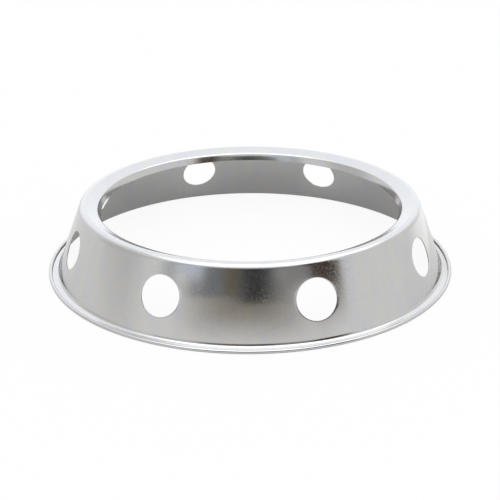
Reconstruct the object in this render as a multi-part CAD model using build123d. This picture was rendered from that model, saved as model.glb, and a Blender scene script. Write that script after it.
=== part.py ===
"""A wok ring: a pressed sheet-steel stand that holds a round-bottomed pan steady over a burner.

The ring is one piece. Its section is a single strip of sheet, bent and then turned about the Z axis.
From the middle outwards the strip makes a lip turned down round the opening, a seat that falls
towards the opening, a rounded shoulder, a conical wall, a narrow sloping foot flange and a curled
outer edge. Round vents are pierced square to the wall.

Millimetres and degrees, +Z up. The origin is under the middle of the ring, on the plane that the
curled edge stands on. The sizes below give a base 248 mm across the curled edge.
"""
import os
from math import ceil, cos, degrees, radians, sin, tan

from build123d import *
from build123d.topology import SkipClean

NODE = "wok_ring"

# Sheet
SHEET = 0.6                      # thickness of the steel

# Opening, with its turned-down lip
OPENING_DIAMETER = 181.0         # clear width inside the lip's lower edge
LIP_LENGTH = 4.7                 # down the lip, from its corner with the seat
LIP_DRAFT = 24.0                 # from upright, closing downwards
LIP_INSIDE_RADIUS = 1.4          # of the bend between lip and seat

# Seat and shoulder
HEIGHT = 42.1                    # from the standing plane to the crest of the shoulder
SEAT_WIDTH = 9.15                # from the edge of the opening out to the crest
SEAT_SLOPE = 22.0                # from level, falling towards the opening
SHOULDER_INSIDE_RADIUS = 3.8     # of the bend between seat and wall

# Wall, flange and curled edge
WALL_DRAFT = 20.6                # from upright, widening downwards
FOOT_INSIDE_RADIUS = 2.5         # of the bend between wall and flange
FLANGE_WIDTH = 4.96              # down the slope, from the wall to where the curl starts
FLANGE_SLOPE = 9.5               # from level, falling outwards
CURL_BORE = 0.9                  # hollow left inside the curl
CURL_TURN = 275.0                # round the curl, from the flange to the free edge

# Vents
VENT_COUNT = 8
VENT_DIAMETER = 23.0
VENT_HEIGHT = 22.5               # of the centre, on the outside of the wall
FIRST_VENT = 22.5                # angle from +X, which leaves both axes between two vents

# A wide bend is turned as two or more faces of at most this angle, which keeps its facets few
WIDEST_BEND_FACE = 50.5

# Headings of the sheet from the lip to the curl, in its section: outwards is 0 and up is 90
LIP_HEADING = 90 - LIP_DRAFT
SEAT_HEADING = SEAT_SLOPE
WALL_HEADING = WALL_DRAFT - 90
FLANGE_HEADING = -FLANGE_SLOPE


def along(angle):
    """Unit step in the section's plane."""
    return Vector(cos(radians(angle)), sin(radians(angle)))


def at_radius(point, angle, radius):
    """Where the line through a point at this angle reaches a radius."""
    return Vector(radius, point.Y + (radius - point.X) * tan(radians(angle)))


def at_height(point, angle, height):
    """Where the line through a point at this angle reaches a height."""
    return Vector(point.X + (height - point.Y) / tan(radians(angle)), height)


def shoulder_centre():
    """Centre of the bend between seat and wall, under the crest."""
    crest_radius = OPENING_DIAMETER / 2 + SEAT_WIDTH
    return Vector(crest_radius, HEIGHT - SHEET - SHOULDER_INSIDE_RADIUS)


def corners():
    """The upper side's corners before bending, from the lip's edge to the curl, and the curl's centre."""
    shoulder_bend = SHOULDER_INSIDE_RADIUS + SHEET
    curl_bend = CURL_BORE / 2

    # Seat and wall both touch the shoulder's bend
    centre = shoulder_centre()
    on_seat = centre + along(SEAT_HEADING + 90) * shoulder_bend
    on_wall = centre + along(WALL_HEADING + 90) * shoulder_bend
    half_turn = (SEAT_HEADING - WALL_HEADING) / 2
    shoulder = centre + along(WALL_HEADING + half_turn + 90) * (shoulder_bend / cos(radians(half_turn)))

    # The lip hangs from the seat's inner corner
    corner_radius = OPENING_DIAMETER / 2 + LIP_LENGTH * sin(radians(LIP_DRAFT))
    lip_corner = at_radius(on_seat, SEAT_HEADING, corner_radius)
    lip_edge = lip_corner - along(LIP_HEADING) * LIP_LENGTH

    # The flange runs down from the wall into the curl, whose lowest line is at zero
    into_curl = along(FLANGE_HEADING - 90) * curl_bend
    flange_fall = FLANGE_WIDTH * sin(radians(FLANGE_SLOPE))
    foot = at_height(on_wall, WALL_HEADING, curl_bend + SHEET + into_curl.Y + flange_fall)
    curl_start = foot + along(FLANGE_HEADING) * FLANGE_WIDTH
    return [lip_edge, lip_corner, shoulder, foot, curl_start], curl_start - into_curl


def sheet_side(depth):
    """Edges of the sheet's side at a depth under its upper side, from the lip to the curl's free edge."""
    points, curl_centre = corners()
    headings = [LIP_HEADING, SEAT_HEADING, WALL_HEADING, FLANGE_HEADING]
    moved = []
    for point, before, after in zip(points, headings[:1] + headings, headings + headings[-1:]):
        shift = depth / cos(radians((after - before) / 2))
        moved.append(point + along((before + after) / 2 - 90) * shift)
    bends = [
        LIP_INSIDE_RADIUS + SHEET - depth,
        SHOULDER_INSIDE_RADIUS + SHEET - depth,
        FOOT_INSIDE_RADIUS + depth,
    ]
    curl = CenterArc(curl_centre, CURL_BORE / 2 + depth, FLANGE_HEADING - 90, CURL_TURN)
    return [*FilletPolyline(*moved, radius=bends).edges(), curl.edge()]


def section():
    """Outline of the bent sheet: its two sides, joined by the cuts at the lip and at the curl."""
    upper, lower = sheet_side(0), sheet_side(SHEET)
    lip_cut = Edge.make_line(upper[0] @ 0, lower[0] @ 0)
    curl_cut = Edge.make_line(upper[-1] @ 1, lower[-1] @ 1)
    return Wire([lip_cut, *upper, curl_cut, *lower])


def split_bends(outline):
    """The same outline with its wide bends divided into equal arcs."""
    pieces = []
    for edge in outline.edges():
        count = 1
        if edge.geom_type == GeomType.CIRCLE:
            count = ceil(degrees(edge.length / edge.radius) / WIDEST_BEND_FACE)
        pieces += [edge.trim(i / count, (i + 1) / count) for i in range(count)]
    return Wire(pieces)


def plain_ring():
    """The sheet section turned about Z, before the vents are pierced."""
    return revolve(Plane.XZ * make_face(split_bends(section())), axis=Axis.Z, clean=False)


def vent_punches():
    """One round punch for each vent, square to the outside of the wall."""
    outwards = along(WALL_HEADING + 90)
    wall_top = shoulder_centre() + outwards * (SHOULDER_INSIDE_RADIUS + SHEET)
    middle = at_height(wall_top, WALL_HEADING, VENT_HEIGHT)
    face = Plane(
        origin=(middle.X, 0, middle.Y),
        x_dir=(0, 1, 0),
        z_dir=(outwards.X, 0, outwards.Y),
    )
    punch = face * Cylinder(VENT_DIAMETER / 2, VENT_DIAMETER)
    return [turn * punch for turn in PolarLocations(0, VENT_COUNT, start_angle=FIRST_VENT)]


def wok_ring():
    """The finished ring. Its divided bends aren't merged again."""
    with SkipClean():
        ring = plain_ring() - vent_punches()
    ring.label = NODE
    return ring


if __name__ == "__main__":
    os.makedirs("parts", exist_ok=True)
    export_step(wok_ring(), f"parts/{NODE}.step")
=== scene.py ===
"""A bright-plated steel wok ring on a pale floor, lit as for a kitchenware catalogue.

The ring is turned again, finer than its CAD solid, from the same section: rounder bends, a softened
edge on every vent and cut, and the curl of the foot. Its own sizes are in millimetres and degrees.
Those of the floor, the cards and the camera are in metres and degrees.
"""
from math import atan2, cos, hypot, pi, radians, sin, tan

import bmesh
import bpy
from mathutils import Matrix, Vector


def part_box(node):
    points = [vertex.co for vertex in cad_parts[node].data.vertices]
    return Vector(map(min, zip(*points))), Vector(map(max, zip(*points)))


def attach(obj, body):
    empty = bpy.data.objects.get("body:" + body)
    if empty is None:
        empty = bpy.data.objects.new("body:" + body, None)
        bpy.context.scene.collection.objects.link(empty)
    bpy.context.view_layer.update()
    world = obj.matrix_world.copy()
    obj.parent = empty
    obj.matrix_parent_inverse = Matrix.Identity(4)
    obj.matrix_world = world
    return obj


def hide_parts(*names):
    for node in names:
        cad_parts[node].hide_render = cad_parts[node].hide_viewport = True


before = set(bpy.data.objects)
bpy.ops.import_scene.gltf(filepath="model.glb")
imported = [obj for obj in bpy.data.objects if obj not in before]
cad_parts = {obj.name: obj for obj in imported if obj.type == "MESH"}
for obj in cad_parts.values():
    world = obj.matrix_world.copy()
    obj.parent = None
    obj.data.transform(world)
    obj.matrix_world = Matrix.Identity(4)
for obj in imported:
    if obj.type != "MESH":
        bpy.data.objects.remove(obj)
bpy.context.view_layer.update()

MM = 0.001
ring_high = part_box("wok_ring")[1]

# The ring's section
SHEET = 0.6
CREST_HEIGHT = ring_high[2] / MM
CURL_REACH = ring_high[0] / MM           # outermost radius, at the curl
OPENING_RADIUS = 90.5
SEAT_WIDTH = 9.15
SEAT_SLOPE = 22.0
LIP_LENGTH = 4.7
LIP_DRAFT = 24.0
LIP_BEND = 2.0                           # bend radii are those of the upper side of the sheet
SHOULDER_BEND = 4.4
WALL_DRAFT = 20.6
FOOT_BEND = 2.5
FLANGE_SLOPE = 9.5
CURL_RADIUS = 1.05                       # outside of the curl
CURL_TURN = 275.0                        # from the flange round to the free edge

VENT_COUNT = 8
VENT_RADIUS = 11.5
VENT_HEIGHT = 22.5                       # of the middle, on the outside of the wall
FIRST_VENT = 22.5                        # degrees from +X
CUT_EDGE = 0.14                          # rounding that shearing and tumbling leave on cut edges

# Headings of the sheet, walking from the lip to the curl along its upper side
LIP_HEADING = 90 - LIP_DRAFT
SEAT_HEADING = SEAT_SLOPE
WALL_HEADING = WALL_DRAFT - 90
FLANGE_HEADING = -FLANGE_SLOPE

# Fineness of the turning
BEND_STEP = 7.5                          # degrees between points of a bend
FLAT = 0.35                              # length of straight sheet that is held flat beside a bend
CUT_ARC = [radians(a) for a in (0, 30, 60, 90)]    # points round a cut edge, from the sheet's side
ACROSS = 48                              # divisions of one vent's share of the wall, round the ring
DOWN = 20                                # the same, down the wall
RINGS = 11                               # loops of faces between a vent and the edge of its share
CROWDING = 1.25                          # above 1, those loops lie closer together near the vent
PUNCH_ROUNDS = 8                         # repeats that find where a punch meets the cone
WELD = 0.002                             # points closer than this become one


def along(angle):
    """Unit step in the section's plane: outwards at 0 degrees, up at 90."""
    return Vector((cos(radians(angle)), sin(radians(angle))))


def arc(centre, radius, first, last):
    """Sheet stations round a bend, as (point on the upper side, heading)."""
    turn = 1 if last > first else -1
    count = round(abs(last - first) / BEND_STEP)
    headings = [first + (last - first) * i / count for i in range(count + 1)]
    return [(centre - along(a + 90) * radius * turn, a) for a in headings]


def bend(corner, first, last, radius):
    """Stations round the bend that takes the place of a corner."""
    turn = 1 if last > first else -1
    start = corner - along(first) * radius * tan(radians(abs(last - first) / 2))
    return arc(start + along(first + 90) * radius * turn, radius, first, last)


def held(stations, before=FLAT, after=FLAT):
    """A bend with one more station on the straight sheet at each end, which keeps that sheet flat."""
    (first, a), (last, b) = stations[0], stations[-1]
    return [(first - along(a) * before, a), *stations, (last + along(b) * after, b)]


def meet(p, a, q, b):
    """Where the line through p at angle a crosses the line through q at angle b."""
    d, e = along(a), along(b)
    return p + d * ((q - p).cross(e) / d.cross(e))


def under(station):
    """The point of the sheet's lower side at a station."""
    point, heading = station
    return point - along(heading + 90) * SHEET


def cut_end(station, way):
    """Rounded end of the sheet, from its upper to its lower side. way is +1 at the curl, -1 at the lip."""
    point, heading = station
    out, up = along(heading) * way, along(heading + 90)
    top = point - (out + up) * CUT_EDGE
    bottom = under(station) - (out - up) * CUT_EDGE
    return [
        *[top + (up * cos(a) + out * sin(a)) * CUT_EDGE for a in CUT_ARC],
        *[bottom + (out * sin(a) - up * cos(a)) * CUT_EDGE for a in reversed(CUT_ARC)],
    ]


def section():
    """Stations from the lip's edge to the wall's top, and from the wall's foot to the curl's free edge."""
    shoulder = Vector((OPENING_RADIUS + SEAT_WIDTH, CREST_HEIGHT - SHOULDER_BEND))
    on_seat = shoulder + along(SEAT_HEADING + 90) * SHOULDER_BEND
    on_wall = shoulder + along(WALL_HEADING + 90) * SHOULDER_BEND
    shoulder_corner = meet(on_seat, SEAT_HEADING, on_wall, WALL_HEADING)
    lip_corner_radius = OPENING_RADIUS + LIP_LENGTH * sin(radians(LIP_DRAFT))
    lip_corner = meet(Vector((lip_corner_radius, 0)), 90, on_seat, SEAT_HEADING)
    lip_edge = (lip_corner - along(LIP_HEADING) * LIP_LENGTH, LIP_HEADING)

    curl_centre = Vector((CURL_REACH - CURL_RADIUS, CURL_RADIUS))
    bore = CURL_RADIUS - SHEET
    curl = arc(curl_centre, bore, FLANGE_HEADING, FLANGE_HEADING + CURL_TURN)
    foot_corner = meet(on_wall, WALL_HEADING, curl[0][0], FLANGE_HEADING)

    above = [
        lip_edge,
        *held(bend(lip_corner, LIP_HEADING, SEAT_HEADING, LIP_BEND)),
        *held(bend(shoulder_corner, SEAT_HEADING, WALL_HEADING, SHOULDER_BEND)),
    ]
    below = [
        *held(bend(foot_corner, WALL_HEADING, FLANGE_HEADING, FOOT_BEND)),
        *held(curl, after=0),
    ]
    return above, below


def both_sides(stations, way):
    """Outline of the strip: from the wall along its upper side, round its cut end and back below."""
    walk = stations if way > 0 else stations[::-1]
    inner = walk[:-1]
    return [
        *[station[0] for station in inner],
        *cut_end(walk[-1], way),
        *[under(station) for station in reversed(inner)],
    ]


class WallShare:
    """One vent's share of the wall: a vent with its rounded edges, and the sheet around it.

    top and bottom are the stations where the wall starts and ends. The vent's middle is above the +X
    axis, and each share is later turned into its place.
    """

    def __init__(self, top, bottom):
        self.top, self.bottom = top[0], bottom[0]
        self.out = along(WALL_HEADING + 90)
        self.up = -along(WALL_HEADING)
        self.half_angle = pi / VENT_COUNT
        run = self.bottom - self.top
        self.slope = run.x / run.y
        self.middle = self.top + run * (VENT_HEIGHT - self.top.y) / run.y

    def skin(self, depth):
        """Top and bottom of the wall's line, this deep under the outside."""
        return self.top - self.out * depth, self.bottom - self.out * depth

    def place(self, angle, down, depth):
        """Point of the wall at an angle from the vent's middle and a share of the way down."""
        top, bottom = self.skin(depth)
        p = top + (bottom - top) * down
        return Vector((p.x * cos(angle), p.x * sin(angle), p.y))

    def on_vent(self, turn, radius, depth):
        """(angle, share of the way down) where a round punch of this radius meets the skin.

        Each repeat mends the reach along the punch by what the last one missed the cone by.
        """
        top, bottom = self.skin(depth)
        across, rise = radius * cos(turn), radius * sin(turn)
        reach = -depth
        for _ in range(PUNCH_ROUNDS):
            p = self.middle + self.up * rise + self.out * reach
            error = hypot(p.x, across) - (top.x + (p.y - top.y) * self.slope)
            reach -= error * cos(radians(WALL_DRAFT))
        p = self.middle + self.up * rise + self.out * reach
        return atan2(across, p.x), (p.y - top.y) / (bottom.y - top.y)

    def border(self):
        """(angle, share of the way down) round the edge of the share, counter-clockwise from outside."""
        half = self.half_angle
        angles = [half * (2 * i / ACROSS - 1) for i in range(ACROSS)]
        downs = [i / DOWN for i in range(DOWN)]
        return [
            *[(a, 0.0) for a in reversed([*angles[1:], half])],
            *[(-half, d) for d in downs],
            *[(a, 1.0) for a in angles],
            *[(half, 1 - d) for d in downs],
        ]

    def loops(self):
        """Closed loops of points from the outside edge, in through the vent, to the inside edge."""
        border = self.border()
        length = (self.bottom - self.top).length
        mid_down = (self.middle - self.top).length / length
        turns = [atan2((mid_down - y) * length, x * self.middle.x) for x, y in border]

        def sheet(depth):
            rim = [self.on_vent(t, VENT_RADIUS + CUT_EDGE, depth) for t in turns]
            for k in range(RINGS + 1):
                share = (k / RINGS) ** CROWDING
                yield [self.place(r[0] + (b[0] - r[0]) * share, r[1] + (b[1] - r[1]) * share, depth)
                       for r, b in zip(rim, border)]

        def round_cut(radius, depth):
            return [self.place(*self.on_vent(t, radius, depth), depth) for t in turns]

        rounding = [(VENT_RADIUS + CUT_EDGE * (1 - sin(a)), CUT_EDGE * (1 - cos(a))) for a in CUT_ARC[1:]]
        entry = [round_cut(radius, depth) for radius, depth in rounding]
        leave = [round_cut(radius, SHEET - depth) for radius, depth in reversed(rounding)]
        return [*reversed(list(sheet(0))), *entry, *leave, *sheet(SHEET)]


def turned(mesh, outline):
    """Faces of an outline turned about the ring's axis."""
    count = VENT_COUNT * ACROSS
    first = radians(FIRST_VENT) - pi / VENT_COUNT
    rows = []
    for i in range(count):
        a = first + 2 * pi * i / count
        rows.append([mesh.verts.new((p.x * cos(a), p.x * sin(a), p.y)) for p in outline])
    for row, after in zip(rows, rows[1:] + rows[:1]):
        for i in range(len(outline) - 1):
            mesh.faces.new((row[i], row[i + 1], after[i + 1], after[i]))


def ring_object():
    """The whole ring as one closed mesh."""
    above, below = section()
    mesh = bmesh.new()
    turned(mesh, both_sides(above, -1))
    turned(mesh, both_sides(below, 1))
    share = WallShare(above[-1], below[0]).loops()
    for number in range(VENT_COUNT):
        spin = Matrix.Rotation(radians(FIRST_VENT) + 2 * pi * number / VENT_COUNT, 3, "Z")
        loops = [[mesh.verts.new(spin @ p) for p in loop] for loop in share]
        for loop, after in zip(loops, loops[1:]):
            for i in range(len(loop)):
                j = (i + 1) % len(loop)
                mesh.faces.new((loop[i], loop[j], after[j], after[i]))
    bmesh.ops.remove_doubles(mesh, verts=mesh.verts, dist=WELD)
    bmesh.ops.recalc_face_normals(mesh, faces=mesh.faces)
    bmesh.ops.scale(mesh, vec=(MM, MM, MM), verts=mesh.verts)
    data = bpy.data.meshes.new("pressed_ring")
    mesh.to_mesh(data)
    mesh.free()
    data.shade_smooth()
    ring = bpy.data.objects.new("pressed_ring", data)
    bpy.context.scene.collection.objects.link(ring)
    return ring


# Finishes

def linear(colour):
    """sRGB hex to linear RGBA."""
    parts = [int(colour[i:i + 2], 16) / 255 for i in (1, 3, 5)]
    return (*[c / 12.92 if c <= 0.04045 else ((c + 0.055) / 1.055) ** 2.4 for c in parts], 1.0)


def node(tree, kind, inputs=(), **settings):
    """Adds a node. inputs are (socket, value or source socket); settings name its properties or sockets."""
    made = tree.nodes.new(kind)
    for name, value in settings.items():
        if name in made.bl_rna.properties:
            setattr(made, name, value)
        else:
            made.inputs[name.replace("_", " ")].default_value = value
    for socket, source in inputs:
        if isinstance(source, bpy.types.NodeSocket):
            tree.links.new(source, made.inputs[socket])
        else:
            made.inputs[socket].default_value = source
    return made


def material(name):
    """An empty node material."""
    made = bpy.data.materials.new(name)
    made.use_nodes = True
    made.node_tree.nodes.clear()
    return made


# Bright nickel plate on steel that was rolled before pressing
PLATE_COOL = "#BEBFC4"                   # faint lavender clouds in the plate
PLATE_WARM = "#C3C2BF"                   # the nickel's own straw grey
CLOUD_SIZE = 7 * MM
CLOUD_STRETCH = 0.4                      # below 1, clouds run up and down the wall, as it was drawn
CLOUD_TINT = (0.32, 0.56)                # part of the cloud pattern over which cool turns to warm
CLOUD_GLOSS = (0.3, 0.7)                 # part of it over which the plate's roughness rises
PLATE_ROUGHNESS = (0.09, 0.12)           # at the two ends of that part
PIT_SIZE = 1.0 * MM                      # coarser than real pits, which are too fine to show
PIT_DEPTH = 0.05 * MM
PIT_SPREAD = (0.5, 0.68)                 # part of the pit pattern over which a pit deepens
PIT_ROUGHNESS = 0.075                    # what a full pit adds to the plate's
PIT_RELIEF = 0.08                        # strength of their relief, which is faint


def plated_sheet():
    """A soft mirror that smears what it shows round the ring. Clouds tint it faintly and change its
    gloss a little, and fine pits catch light where it mirrors something dark."""
    made = material("bright_plated_steel_sheet")
    tree = made.node_tree
    where = node(tree, "ShaderNodeTexCoord").outputs["Object"]
    drawn = node(tree, "ShaderNodeMapping", [("Vector", where)], Scale=(1.0, 1.0, CLOUD_STRETCH))
    clouds = node(tree, "ShaderNodeTexNoise", [("Vector", drawn.outputs["Vector"])],
                  Scale=1 / CLOUD_SIZE, Detail=7.0, Roughness=0.62).outputs["Fac"]
    pits = node(tree, "ShaderNodeTexNoise", [("Vector", where)],
                Scale=1 / PIT_SIZE, Detail=2.0).outputs["Fac"]

    patches = node(tree, "ShaderNodeMapRange", [("Value", clouds)],
                   From_Min=CLOUD_TINT[0], From_Max=CLOUD_TINT[1])
    tint = node(tree, "ShaderNodeMix", [("Factor", patches.outputs["Result"])],
                data_type="RGBA", A=linear(PLATE_COOL), B=linear(PLATE_WARM))
    gloss = node(tree, "ShaderNodeMapRange", [("Value", clouds)],
                 From_Min=CLOUD_GLOSS[0], From_Max=CLOUD_GLOSS[1],
                 To_Min=PLATE_ROUGHNESS[0], To_Max=PLATE_ROUGHNESS[1])
    pitted = node(tree, "ShaderNodeMapRange", [("Value", pits)],
                  From_Min=PIT_SPREAD[0], From_Max=PIT_SPREAD[1], To_Min=0.0, To_Max=PIT_ROUGHNESS)
    roughness = node(tree, "ShaderNodeMath",
                     [(0, gloss.outputs["Result"]), (1, pitted.outputs["Result"])], operation="ADD")
    relief = node(tree, "ShaderNodeBump", [("Height", pits)], Strength=PIT_RELIEF, Distance=PIT_DEPTH)
    round_ring = node(tree, "ShaderNodeTangent", direction_type="RADIAL", axis="Z")
    steel = node(tree, "ShaderNodeBsdfPrincipled",
                 [("Base Color", tint.outputs["Result"]), ("Roughness", roughness.outputs[0]),
                  ("Normal", relief.outputs["Normal"]), ("Tangent", round_ring.outputs["Tangent"])],
                 Metallic=1.0, Anisotropic=0.9)
    node(tree, "ShaderNodeOutputMaterial", [("Surface", steel.outputs["BSDF"])])
    return made


ring = ring_object()
ring.data.materials.append(plated_sheet())
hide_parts("wok_ring")
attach(ring, "root")


# Floor, light and camera

WHITE = "#FFFFFF"
PAPER = "#FAFAFA"
FLOOR_SIZE = 6.0
GLOW_TO_THE_EYE = 0.92                   # share of the floor's white that doesn't take the shadow
GLOW_IN_STEEL = 0.16                     # the same, where the steel mirrors the floor

CAMERA_AZIMUTH = 3.65                    # degrees from -Y towards +X
CAMERA_ELEVATION = 23.56
CAMERA_DISTANCE = 694.3 * MM             # from a point on the axis, just above the floor
AIM_HEIGHT = 0.6 * MM                    # of that point
CAMERA_AIM = 23.095                      # degrees below level
CAMERA_ROLL = -0.316
LENS = 80.0                              # mm, on a full frame, which is 36 mm wide
FRAME_WIDTH = 36.0
NEAREST_SEEN = 0.01


def pale_floor():
    """A wide sheet of white paper. Most of its white is its own glow, so its shadow stays faint."""
    bpy.ops.mesh.primitive_plane_add(size=FLOOR_SIZE)
    floor = bpy.context.object
    floor.name = "paper_floor"
    made = material("white_paper")
    tree = made.node_tree
    path = node(tree, "ShaderNodeLightPath").outputs
    to_the_eye = node(tree, "ShaderNodeMath",
                      [(0, path["Is Camera Ray"]), (1, path["Is Transmission Ray"])], operation="MAXIMUM")
    eye_share = node(tree, "ShaderNodeMath",
                     [(0, to_the_eye.outputs[0]), (1, GLOW_TO_THE_EYE)], operation="MULTIPLY")
    steel_share = node(tree, "ShaderNodeMath",
                       [(0, path["Is Glossy Ray"]), (1, GLOW_IN_STEEL)], operation="MULTIPLY")
    share = node(tree, "ShaderNodeMath",
                 [(0, eye_share.outputs[0]), (1, steel_share.outputs[0])], operation="MAXIMUM")
    paper = node(tree, "ShaderNodeBsdfDiffuse", Color=linear(PAPER))
    glow = node(tree, "ShaderNodeEmission", Color=linear(WHITE), Strength=1.0)
    mixed = node(tree, "ShaderNodeMixShader",
                 [(0, share.outputs[0]), (1, paper.outputs[0]), (2, glow.outputs[0])])
    node(tree, "ShaderNodeOutputMaterial", [("Surface", mixed.outputs[0])])
    floor.data.materials.append(made)


def white_room():
    """Even white light from all round."""
    world = bpy.data.worlds.new("white_room")
    bpy.context.scene.world = world
    world.use_nodes = True
    tree = world.node_tree
    tree.nodes.clear()
    light = node(tree, "ShaderNodeBackground", Color=linear(WHITE), Strength=1.0)
    node(tree, "ShaderNodeOutputWorld", [("Surface", light.outputs[0])])


def card(name, azimuth, elevation, width, height, colour, strength=1.0, *, fade, distance):
    """A card with soft edges that only the steel mirrors.

    Its place and its size are angles seen from the ring, with the azimuth from the camera towards +X.
    fade is the share of the card over which its low-azimuth, high-azimuth, lower and upper edges fade.
    """
    bpy.ops.mesh.primitive_plane_add(size=1.0)
    made_card = bpy.context.object
    made_card.name = name
    a, e = radians(CAMERA_AZIMUTH + azimuth), radians(elevation)
    towards = Vector((sin(a) * cos(e), -cos(a) * cos(e), sin(e)))
    made_card.location = towards * distance
    made_card.rotation_euler = towards.to_track_quat("Z", "Y").to_euler()
    across, up = tan(radians(width / 2)), tan(radians(height / 2))
    made_card.scale = (2 * distance * across, 2 * distance * up, 1.0)

    surface = material(name)
    tree = surface.node_tree
    on_card = node(tree, "ShaderNodeTexCoord").outputs["Generated"]
    place = node(tree, "ShaderNodeSeparateXYZ", [("Vector", on_card)]).outputs
    cover = 1.0
    for axis, low, high in (("X", fade[0], fade[1]), ("Y", fade[2], fade[3])):
        for start, end, before, after in ((0.0, low, 0.0, 1.0), (1.0 - high, 1.0, 1.0, 0.0)):
            edge = node(tree, "ShaderNodeMapRange", [("Value", place[axis])],
                        interpolation_type="SMOOTHSTEP", From_Min=start, From_Max=end,
                        To_Min=before, To_Max=after).outputs["Result"]
            cover = node(tree, "ShaderNodeMath", [(0, cover), (1, edge)], operation="MULTIPLY").outputs[0]
    clear = node(tree, "ShaderNodeBsdfTransparent")
    face = node(tree, "ShaderNodeEmission", Color=linear(colour), Strength=strength)
    mixed = node(tree, "ShaderNodeMixShader", [(0, cover), (1, clear.outputs[0]), (2, face.outputs[0])])
    node(tree, "ShaderNodeOutputMaterial", [("Surface", mixed.outputs[0])])
    made_card.data.materials.append(surface)
    made_card.visible_camera = False
    made_card.visible_diffuse = False
    made_card.visible_shadow = False
    made_card.visible_transmission = False


def camera():
    """A long lens on a full frame, looking down at the ring."""
    data = bpy.data.cameras.new("camera")
    data.lens = LENS
    data.sensor_width = FRAME_WIDTH
    data.clip_start = NEAREST_SEEN
    made_camera = bpy.data.objects.new("camera", data)
    bpy.context.scene.collection.objects.link(made_camera)
    a, e = radians(CAMERA_AZIMUTH), radians(CAMERA_ELEVATION)
    spot = Vector((sin(a) * cos(e), -cos(a) * cos(e), sin(e))) * CAMERA_DISTANCE + Vector((0, 0, AIM_HEIGHT))
    turn = (Matrix.Rotation(a, 4, "Z") @ Matrix.Rotation(radians(90 - CAMERA_AIM), 4, "X")
            @ Matrix.Rotation(radians(CAMERA_ROLL), 4, "Z"))
    made_camera.matrix_world = Matrix.Translation(spot) @ turn
    bpy.context.scene.camera = made_camera


white_room()
pale_floor()

# In front and further off: a dark patch, which the far lip shows. Here and below, where two cards
# overlap, the nearer one covers the other
card("camera_body", 0, 28, 44, 11, "#5A5B5D", fade=(0.35, 0.35, 0.15, 0.2), distance=0.72)

# In front and close by: a dark patch and a warm streak before a broad grey one, whose lower edges the
# wall shows as a line. Brown and grey strips are at the right and cooler ones at the left, and a
# brown-grey band is below
card("lens_shadow", 2.5, 29.6, 25, 31.4, "#424243", fade=(0.42, 0.42, 0.02, 0.7), distance=0.345)
card("warm_flag", -9.5, 30, 13, 31, "#766F5C", fade=(0.45, 0.45, 0.02, 0.7), distance=0.3475)
card("dark_flag", -5, 30, 64, 31, "#87898C", fade=(0.22, 0.32, 0.02, 0.6), distance=0.35)
card("brown_strip", 40, 28.5, 21, 43, "#4E3E34", fade=(0.25, 0.17, 0.2, 0.3), distance=0.35)
card("grey_flag", 27, 29.5, 30, 30, "#A09F9D", fade=(0.3, 0.2, 0.05, 0.3), distance=0.36)
card("cool_flag", -43.5, 28, 14, 34, "#CBD0D7", fade=(0.4, 0.4, 0.1, 0.3), distance=0.36)
card("cool_window", -31, 30, 20, 32, "#E4EEFA", fade=(0.35, 0.35, 0.1, 0.3), distance=0.365)
card("table_shade", -2, 13, 82, 9, "#A39D92", fade=(0.45, 0.45, 0.6, 0.02), distance=0.37)

# At the sides: a pale surface at the left, and white paper that lifts the ring's right flank
card("left_wall", -88, 20, 58, 46, "#E0E0DF", fade=(0.4, 0.4, 0.27, 0.3), distance=1.9)
card("right_bounce", 112, 8, 50, 20, WHITE, 1.25, fade=(0.3, 0.3, 0.1, 0.3), distance=0.17)

# Above and behind: the lights that the seat, the crest and the flange mirror
card("zenith_key", 0, 82, 80, 50, "#FAFCFF", 2.8, fade=(0.35, 0.35, 0.35, 0.35), distance=1.2)
card("right_key", 122, 58, 40, 34, "#FAFCFF", 2.5, fade=(0.35, 0.35, 0.35, 0.35), distance=1.25)
card("overhead_softbox", 0, 90, 80, 80, "#F7FAFF", 1.6, fade=(0.2, 0.2, 0.2, 0.2), distance=1.3)
card("bright_backdrop", 180, 35, 100, 70, "#F7FAFF", 1.52, fade=(0.3, 0.3, 0.02, 0.3), distance=2.0)

camera()
bpy.context.scene.view_settings.view_transform = "Standard"
